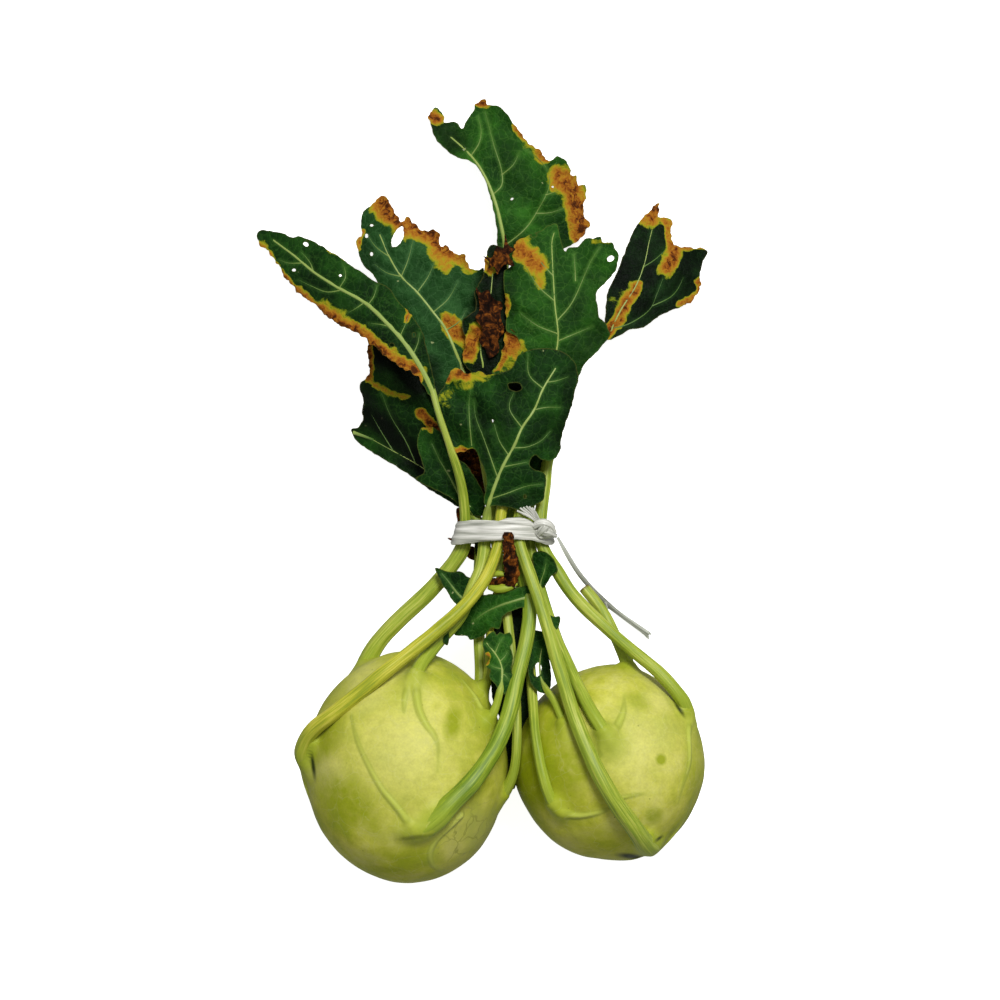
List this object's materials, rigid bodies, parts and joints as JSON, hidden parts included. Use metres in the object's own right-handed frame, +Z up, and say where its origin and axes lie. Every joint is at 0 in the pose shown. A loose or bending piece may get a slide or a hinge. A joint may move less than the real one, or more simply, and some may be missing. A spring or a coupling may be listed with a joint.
{
  "type": "kohlrabi bunch",
  "caption": "Kohlrabi bunch lying down: round pale green swollen stems, long leaf stalks and ragged dark leaves, held together by a knotted flat ribbon",
  "frame": {"origin": "on the surface the bunch lies on, below the middle of its box, without the ribbon's tail", "axes": "+Z is up, the leaves point to +Y and the swollen stems lie at -Y, side by side along X"},
  "size_m": [0.1814, 0.3144, 0.079],
  "materials": {
    "swollen_stem": "waxy pale green skin with soft mottling",
    "leaf": "satin dark green with pale veins and dry brown rims",
    "withered_leaf": "dry brown and crumpled",
    "leaf_stalk": "waxy yellow green with fine lengthwise fibres",
    "ribbon": "thin white split-film plastic"
  },
  "bodies": {
    "root": {"bulb_left": "swollen_stem", "bulb_right": "swollen_stem", "leaf_far_left": "leaf", "leaf_mid_left": "leaf", "leaf_top": "leaf", "leaf_front": "leaf", "leaf_upper_centre": "leaf", "leaf_far_right": "leaf", "leaf_low_left": "leaf", "leaf_withered": "withered_leaf", "small_leaf_crinkled": "leaf", "small_leaf_dark": "leaf", "small_leaf_withered": "withered_leaf", "stalk_trimmed_front": "leaf_stalk", "stalk_trimmed_behind": "leaf_stalk", "stalk_stub": "leaf_stalk", "tie": "ribbon", "tie_tail": "ribbon"}
  },
  "joints": []
}
